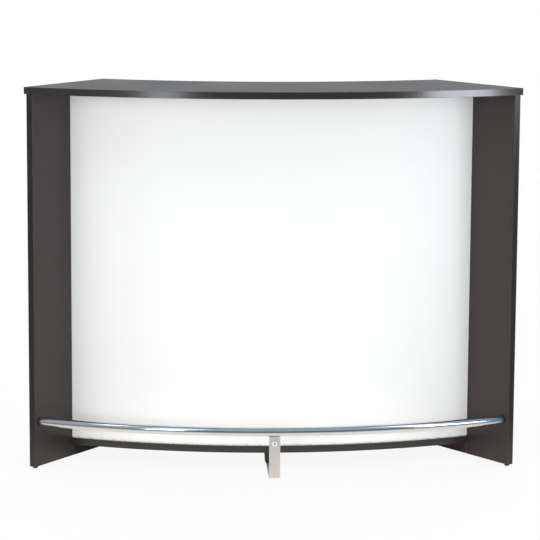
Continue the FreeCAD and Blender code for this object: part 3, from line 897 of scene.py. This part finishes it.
@dataclass
class FootRail:
    """Bent tube with its welded tab, end collars and the screws through the side boards."""

    bend: float = 1.508
    level: float = 0.129
    radius: float = 0.0125
    wall: float = 0.0015
    collar: float = 0.003
    collar_radius: float = 0.0145
    tab_width: float = 0.026
    tab_thickness: float = 0.003
    tab_drop: float = 0.044
    tab_corner: float = 0.004
    hole_drop: float = 0.033
    hole_radius: float = 0.0042
    spigot: float = 0.022
    spigot_radius: float = 0.0108
    spigot_tip: float = 0.0075
    plug_bore: float = 0.0031

    def build(self) -> None:
        """Builds and dresses every piece of the rail."""
        chrome = ChromePlate("steel_tube_chrome_plated", "E4E5E6", 0.11).make()
        settle(self.tube().piece("rail_tube", chrome), Slot.CHROME, "foot_rail")
        settle(self.tab().piece("rail_tab", chrome, crease=30.0), Slot.CHROME)
        settle(self.weld().piece("tab_weld", chrome, crease=60.0), Slot.CHROME)
        black = MouldedPlastic("polyamide_plug_black", "1F1F20", 0.38).make()
        right = self.end_plug()
        for hand, plug in (("right", right), ("left", right.mirrored())):
            piece = plug.piece(f"{hand}_rail_plug", black, crease=30.0)
            settle(piece, Slot.BLACK_PLASTIC, f"{hand}_rail_end_plug")
        zinc = PlatedSteel("steel_screw_zinc_plated", "C6C8CC", 0.25).make()
        screw = self.end_screw()
        pair = screw.joined(screw.mirrored()).piece("rail_end_screw_pair", zinc, crease=35.0)
        settle(pair, Slot.ZINC, "rail_end_screws")

    def tube(self, steps: int = 360, round_steps: int = 56) -> Shell:
        """Tube wall: a circle of radius r along the bend's arc, (B + r cos a)(sin t, -cos t), z + r sin a.

        It runs out along the outer wall and back along the inner one. Each line ends on the collar's plane,
        at sin(t - side angle) = -d / (B + r cos a), where d is the plane's distance from the bend's axis.

        Args:
            steps: points along each wall.
            round_steps: points round the circle.

        Returns:
            The closed wall.
        """
        around = full_turn(round_steps)[:, None]
        share = np.linspace(-1.0, 1.0, steps)
        plane = INNER_FACE + self.collar + float(np.dot(INWARD[:2], np.array(SIDE_CORNER) - (0.0, ARC_Y)))
        walls = []
        for r, way in ((self.radius, 1.0), (self.radius - self.wall, -1.0)):
            reach = self.bend + r * np.cos(around)
            end = SIDE_ANGLE - np.arcsin(plane / reach)
            t = end * share * way
            level = self.level + r * np.sin(around) + 0.0 * t
            walls.append(np.stack([reach * np.sin(t), ARC_Y - reach * np.cos(t), level], axis=-1))
        return Shell.grid(np.concatenate(walls, axis=1))

    def tab(self, steps: int = 144) -> Shell:
        """Flat tab: rays from the screw hole to a rectangle with rounded lower corners, front and back.

        Each ray's length is found by halving the stretch that holds the outline.

        Args:
            steps: rays round the hole.

        Returns:
            The closed plate.
        """
        angle = full_turn(steps)
        ray = np.stack([np.cos(angle), np.sin(angle)], axis=-1)
        half, blunt, bore, soft = self.tab_width / 2, self.tab_corner, self.hole_radius, 0.3 * MM
        hole = self.level - self.hole_drop
        low, high = self.level - self.tab_drop - hole, self.level - self.radius + self.wall - hole
        halvings, longest = 40, 0.1
        near, far = np.zeros(steps), np.full(steps, longest)
        for _ in range(halvings):
            middle = (near + far) / 2
            x, z = np.abs(ray[:, 0] * middle), ray[:, 1] * middle
            corner = np.hypot(np.maximum(x - half + blunt, 0), np.maximum(low + blunt - z, 0))
            inside = (x < half) & (z < high) & (corner < blunt)
            near, far = np.where(inside, middle, near), np.where(inside, far, middle)
        front, back = ARC_Y - self.bend, ARC_Y - self.bend + self.tab_thickness
        rows = [(bore, front + soft), (bore + soft, front), (near - soft, front), (near, front + soft),
                (near, back - soft), (near - soft, back), (bore + soft, back), (bore, back - soft)]
        points = [np.stack([ray[:, 0] * r, np.full(steps, y), hole + ray[:, 1] * r], -1) for r, y in rows]
        return Shell.grid(np.stack(points))

    def weld(self, steps: int = 120, round_steps: int = 20) -> Shell:
        """Bead behind the tab: a circle along X whose radius ripples with each drop and closes at both ends.

        The radius is R (1 + 0.12 |sin(pi x / pitch)|) times the root of 1 - |x / half length|^8.

        Args:
            steps: points along the bead.
            round_steps: points round it.

        Returns:
            The closed bead.
        """
        share = np.linspace(-1.0, 1.0, steps)[:, None]
        around = full_turn(round_steps)
        half, thick, pitch, sunk = 0.47 * self.tab_width, 1.9 * MM, 2.3 * MM, 0.3 * MM
        ripple = 1.0 + 0.12 * np.abs(np.sin(math.pi * share * half / pitch))
        r = thick * ripple * np.sqrt(np.clip(1.0 - np.abs(share) ** 8, 0.0, 1.0))
        x = share * half + 0.0 * around
        y = ARC_Y - self.bend + self.tab_thickness + sunk + r * np.cos(around)
        z = self.level - math.sqrt(self.radius**2 - self.tab_thickness**2) - sunk + r * np.sin(around)
        return Shell.grid(np.stack([x, y, z], axis=-1), round_rows=False)

    def end_plug(self) -> Shell:
        """Plug by the right side board: a turned collar with a rounded rim and a tapered spigot in the tube.

        Returns:
            The closed plug.
        """
        rim, soft, nose, turns = 1.1 * MM, 0.2 * MM, 1.0 * MM, 72
        big, tall, tip = self.collar_radius, self.collar, self.collar + self.spigot
        profile = np.concatenate([
            [(self.plug_bore, 0.0), (big - soft, 0.0), (big, soft)],
            arc(rim, 0.0, 90.0, 8, (big - rim, tall - rim)),
            [(self.spigot_radius, tall), (self.spigot_tip, tip - nose), (self.spigot_tip - nose, tip)],
            [(self.plug_bore, tip)],
        ])
        foot = on_side(self.end_run(), INNER_FACE, self.level)
        return Shell.turned(profile, turns, closed=True).placed(foot, INWARD, UP)

    def end_run(self) -> float:
        """Distance along the side edge at which the rail's middle meets the board's inner face.

        Returns:
            The nearer root of |start + run * along| = bend, seen from the bend's axis.
        """
        start = np.array(SIDE_CORNER) + INWARD[:2] * INNER_FACE - (0.0, ARC_Y)
        half = float(np.dot(start, ALONG[:2]))
        return -half - math.sqrt(half**2 - float(np.dot(start, start)) + self.bend**2)

    def end_screw(self) -> Shell:
        """Pan-head screw on the outside of the right side board, head out."""
        screw = pan_screw(radius=6.0 * MM, tall=3.5 * MM, shank=3.0 * MM, length=34.0 * MM)
        return screw.placed(on_side(self.end_run(), OVERHANG, self.level), -INWARD, UP)


@dataclass
class Bracket:
    """Bent strip under the rail with its screw and nut, and the middle foot that stands on it."""

    seat_y: float = -0.1955
    seat_level: float = 0.096
    socket_radius: float = 0.0026
    socket_turn: float = 0.6
    foot_y: float = -0.0125
    foot_low: float = 0.003
    foot_high: float = 0.039
    foot_top: float = 0.021
    foot_base: float = 0.018
    foot_bore: float = 0.0026

    def build(self) -> None:
        """Builds and dresses the bracket's pieces."""
        dress(CoatedStrip("steel_strip_powder_coated", "C1BEBB", 0.48).make(), "rail_bracket")
        # The screw's hex socket gets a patch of painted shade.
        socket = (0.0, self.seat_level, self.socket_radius)
        white = PlatedSteel("steel_bolt_white_zinc_plated", "FAFAFA", 0.22, metal=0.25, blotch="EFF0F1",
                            socket=socket, socket_shade="A2A3A6").make()
        screw = button_screw(radius=7.0 * MM, tall=4.4 * MM, shank=4.0 * MM, length=14.5 * MM,
                             flats=5.0 * MM)
        seat, out = np.array([0.0, self.seat_y, self.seat_level]), np.array([0.0, -1.0, 0.0])
        aside = np.array([math.cos(self.socket_turn), 0.0, math.sin(self.socket_turn)])
        bolt = screw.placed(seat, out, aside).piece("bracket_screw", white, crease=35.0)
        settle(bolt, Slot.ZINC, "tab_screw")
        dress(PlatedSteel("steel_nut_zinc_plated", "C6C8CC", 0.3).make(), "tab_nut", "middle_foot_screw")
        black = MouldedPlastic("polyethylene_moulded_black", "242322", 0.5).make()
        foot = self.foot().piece("middle_foot_moulding", black, crease=35.0)
        settle(foot, Slot.BLACK_PLASTIC, "middle_foot")
        dress(black, "glides")

    def foot(self) -> Shell:
        """Tapered foot: a turned ring with rounded rims and one shallow mould groove below its top.

        Returns:
            The closed ring.
        """
        low, high, top, base = self.foot_low, self.foot_high, self.foot_top, self.foot_base
        rim, cut, drop, turns = 0.8 * MM, 0.5 * MM, 6.0 * MM, 96
        slope = (top - base) / (high - low)
        level, side = high - drop, top - slope * drop
        profile = np.concatenate([
            [(self.foot_bore, low)],
            arc(rim, -90.0, 0.0, 6, (base - rim, low + rim)),
            [(side - slope * cut, level - cut), (side - cut, level), (side + slope * cut, level + cut)],
            arc(rim, 0.0, 90.0, 6, (top - rim, high - rim)),
            [(self.foot_bore, high)],
        ])
        ring = Shell.turned(profile, turns, closed=True)
        return Shell(ring.points + (0.0, self.foot_y, 0.0), ring.faces)


@dataclass
class Fittings:
    """Cams, bolts, screws, caps, dowels, supports and nails."""

    def dress(self) -> None:
        """Gives each fitting its metal, plastic or wood."""
        zinc = PlatedSteel("steel_stamped_zinc_plated", "BFC1C5", 0.32).make()
        dress(zinc, "cam_bolts", "joining_screws", "shelf_supports", "glide_nails")
        # The cams are drawn dark grey with darker blotches.
        cams = PlatedSteel("zinc_die_cast_dark", "524F4C", 0.4, metal=0.7, blotch="3C3A38")
        dress(cams.make(), "cam_locks")
        dress(MouldedPlastic("polypropylene_cap_graphite", "4A4745", 0.5).make(), "screw_caps")
        dress(TurnedBeech("beech_dowel_fluted", "CDA477", 0.6).make(), "wooden_dowels")


# Studio


@dataclass(frozen=True)
class Softbox:
    """A soft lamp: where it stands, what it is aimed at, its size, power and colour."""

    name: str
    place: Point
    aim: Point
    size: Pair
    power: float
    colour: str = "F2F7FF"

    def make(self) -> None:
        """Puts the lamp in the scene, unseen by the camera itself."""
        lamp = bpy.data.lights.new(self.name, "AREA")
        lamp.shape = "RECTANGLE"
        lamp.size, lamp.size_y = self.size
        lamp.energy = self.power
        lamp.color = linear(self.colour)[:3]
        thing = bpy.data.objects.new(self.name, lamp)
        thing.location = self.place
        thing.rotation_mode = "QUATERNION"
        thing.rotation_quaternion = (Vector(self.aim) - Vector(self.place)).to_track_quat("-Z", "Y")
        thing.visible_camera = False
        bpy.context.scene.collection.objects.link(thing)


@dataclass
class Studio:
    """White paper floor, the room around it, soft lamps and the camera."""

    lamps: tuple[Softbox, ...] = (
        Softbox("window_right", (2.615, -2.3, 0.86), (0.0, -0.1, 0.55), (1.06, 0.58), 19.0),
        Softbox("bank_right", (2.19, -2.03, 2.38), (0.4, -0.14, 0.435), (0.7, 2.17), 8.1),
        Softbox("strip_left", (-1.63, -3.4, 0.8), (0.0, -0.1, 0.55), (0.6, 1.0), 8.0),
        Softbox("bank_left", (-1.224, -2.581, 2.4), (-0.25, -0.17, 0.5), (0.68, 1.35), 3.4),
        Softbox("head_left", (-1.87, -1.36, 2.95), (-0.42, -0.13, 0.129), (0.3, 0.7), 2.4),
        Softbox("edge_right", (4.56, -0.9, 1.05), (0.66, -0.06, 0.95), (0.7, 0.9), 8.0, "EAF0FF"),
    )

    # The floor. Fade, dim and card go by the distance from the origin, the others from the bows' axis.
    floor_reach: float = 60.0
    floor_colour: str = "F5F5F3"
    floor_tint: str = "F9F5EF"
    floor_fade: Ramp = (2.5, 7.0, 0.9, 1.0)
    paper_dim: Ramp = (0.45, 0.9, 1.0, 0.76)
    card: Ramp = (0.38, 0.62, 0.6, 0.0)
    card_light: float = 1.5
    footprint: Pair = (1.3, 1.4)
    paper_end: Pair = (1.62, 1.95)
    dusk: str = "8B919A"
    dusk_end: Pair = (2.6, 5.0)

    # The room that mirrors see. An edge is a span of a direction's X, Y or Z.
    room: str = "5A626E"
    room_edge: Pair = (-0.1, -0.4)
    ceiling: str = "A6B1BD"
    ceiling_edge: Pair = (0.14, 0.4)
    left_room: str = "A8ABB5"
    left_edge: Pair = (-0.4, -0.7)
    right_room: str = "5582BC"
    right_edge: Pair = (0.58, 0.72)

    # The room's own light, by a direction's X, Y or Z.
    front_fall: Ramp = (0.16, 0.34, 5.2, 0.0)
    front_rise: Ramp = (0.0, 0.1, 0.5, 1.0)
    front_spread: Ramp = (-0.4, -0.9, 0.0, 1.0)
    front_lean: Ramp = (-0.5, -0.1, 2.0, 0.0)
    top_light: Ramp = (0.5, 0.8, 0.0, 1.15)
    level_light: Ramp = (0.1, 0.5, 0.37, 0.185)
    back_light: Ramp = (0.2, 0.8, 0.0, 1.6)

    camera_place: Point = (-0.3133, -6.5691, 1.5757)
    camera_yaw: float = 2.674
    camera_tilt: float = 8.948
    camera_roll: float = 0.347
    camera_lens: float = 161.398

    def build(self) -> None:
        """Builds the studio."""
        bpy.context.scene.view_settings.view_transform = "Standard"
        self.floor()
        self.surroundings()
        for lamp in self.lamps:
            lamp.make()
        self.camera()

    def floor(self) -> None:
        """White paper that keeps a soft shadow, melts into the background and ends before the dark room.

        The camera sees a share of plain white in it. Mirrored rays see that white round the object, the
        paper's own shade under it, a greyer white further out, and beyond the paper a middle tone and then
        the dim room. Round the origin a white card sends some more light up to the panel's foot.
        """
        half = self.floor_reach / 2
        side = np.linspace(-half, half, 3)
        x, y = np.meshgrid(side, side, indexing="ij")
        flat = np.stack([x, y, np.zeros_like(x)], axis=-1)
        sheet = Shell.grid(flat, round_rows=False, round_columns=False)
        material = bpy.data.materials.new("paper_floor_white")
        tree = bare_tree(material)
        path = add(tree, "LightPath")
        camera, diffuse, glossy, through = (path.outputs[kind.value] for kind in Ray)
        where = add(tree, "TexCoord").outputs["Object"]
        far = add(tree, "VectorMath", [where], operation="LENGTH")
        reach = from_axis(tree, where)
        fade = add(tree, "MapRange", [far, *self.floor_fade])
        seen = add(tree, "Math", [camera, fade], operation="MULTIPLY")
        around = add(tree, "MapRange", [far, *self.card])
        card = add(tree, "Math", [diffuse, around], operation="MULTIPLY")
        mirrored = add(tree, "Math", [glossy, through], operation="MAXIMUM")
        back = add(tree, "Math", [mirrored, card], operation="MAXIMUM")
        outside = add(tree, "MapRange", [reach, *self.footprint])
        shown = add(tree, "Math", [back, outside], operation="MULTIPLY")
        share = add(tree, "Math", [seen, shown], operation="MAXIMUM")
        dusk, room = linear(self.dusk)[1], linear(self.room)[1]
        shade = add(tree, "MapRange", [far, *self.paper_dim])
        for span, end in ((self.paper_end, dusk), (self.dusk_end, room / dusk)):
            darker = add(tree, "MapRange", [reach, *span, 1.0, end])
            shade = add(tree, "Math", [shade, darker], operation="MULTIPLY")
        white = add(tree, "Math", [camera, shade], operation="MAXIMUM")
        strength = add(tree, "Math", [card, self.card_light, white], operation="MULTIPLY_ADD")
        tint = add(tree, "Mix", {0: camera, 6: linear(self.floor_tint), 7: linear(WHITE)}, data_type="RGBA")
        paper = add(tree, "BsdfDiffuse", [linear(self.floor_colour)])
        glow = add(tree, "Emission", [tint, strength])
        add(tree, "OutputMaterial", [add(tree, "MixShader", [share, paper, glow])])
        sheet.piece("floor", material)

    def surroundings(self) -> None:
        """White background, a dim room in front for mirrored rays, and the soft light itself.

        The light is strongest low in front, as from a broad soft lamp left of the camera, with a wide source
        overhead and a weaker one behind. Mirrors see the dim room in front, white behind, a paler ceiling
        that is bluer on the right, and a pale wall on the left.
        """
        world = bpy.data.worlds.new("white_studio")
        bpy.context.scene.world = world
        tree = bare_tree(world)
        path = add(tree, "LightPath")
        camera, _, glossy, through = (path.outputs[kind.value] for kind in Ray)
        x, y, z = add(tree, "SeparateXYZ", [add(tree, "TexCoord").outputs["Generated"]]).outputs
        ceiling = tone(tree, x, linear(self.ceiling), linear(self.right_room), self.right_edge)
        colour = linear(WHITE)
        for way, wall, edge in ((y, linear(self.room), self.room_edge), (z, ceiling, self.ceiling_edge),
                                (x, linear(self.left_room), self.left_edge)):
            colour = tone(tree, way, colour, wall, edge)
        white = add(tree, "Mix", {0: camera, 6: colour, 7: linear(WHITE)}, data_type="RGBA")
        backdrop = add(tree, "Background", [white, 1.0])
        total = add(tree, "MapRange", [z, *self.front_fall])
        for way, ramp, sign in ((z, self.front_rise, "MULTIPLY"), (y, self.front_spread, "MULTIPLY"),
                                (x, self.front_lean, "MULTIPLY"), (z, self.top_light, "ADD"),
                                (z, self.level_light, "ADD"), (y, self.back_light, "ADD")):
            total = add(tree, "Math", [total, add(tree, "MapRange", [way, *ramp])], operation=sign)
        light = add(tree, "Background", {"Strength": total})
        mirrored = add(tree, "Math", [glossy, through], operation="MAXIMUM")
        unlit = add(tree, "Math", [camera, mirrored], operation="MAXIMUM")
        add(tree, "OutputWorld", [add(tree, "MixShader", [unlit, light, backdrop])])

    def camera(self) -> None:
        """Camera at the photograph's viewing angle."""
        lens = bpy.data.cameras.new("camera")
        lens.sensor_width = 36.0
        lens.lens = self.camera_lens
        eye = bpy.data.objects.new("camera", lens)
        turn = (Matrix.Rotation(math.radians(-self.camera_yaw), 4, "Z")
                @ Matrix.Rotation(math.radians(90.0 - self.camera_tilt), 4, "X")
                @ Matrix.Rotation(math.radians(self.camera_roll), 4, "Z"))
        eye.matrix_world = Matrix.Translation(self.camera_place) @ turn
        bpy.context.scene.collection.objects.link(eye)
        bpy.context.scene.camera = eye


def main() -> None:
    """Builds the studio, and builds and dresses the cabinet."""
    logging.basicConfig(level=logging.INFO, format="%(name)s %(message)s")
    Studio().build()
    Boards().dress()
    FrontPanel().dress()
    FootRail().build()
    Bracket().build()
    Fittings().dress()


if __name__ == "__main__":
    main()
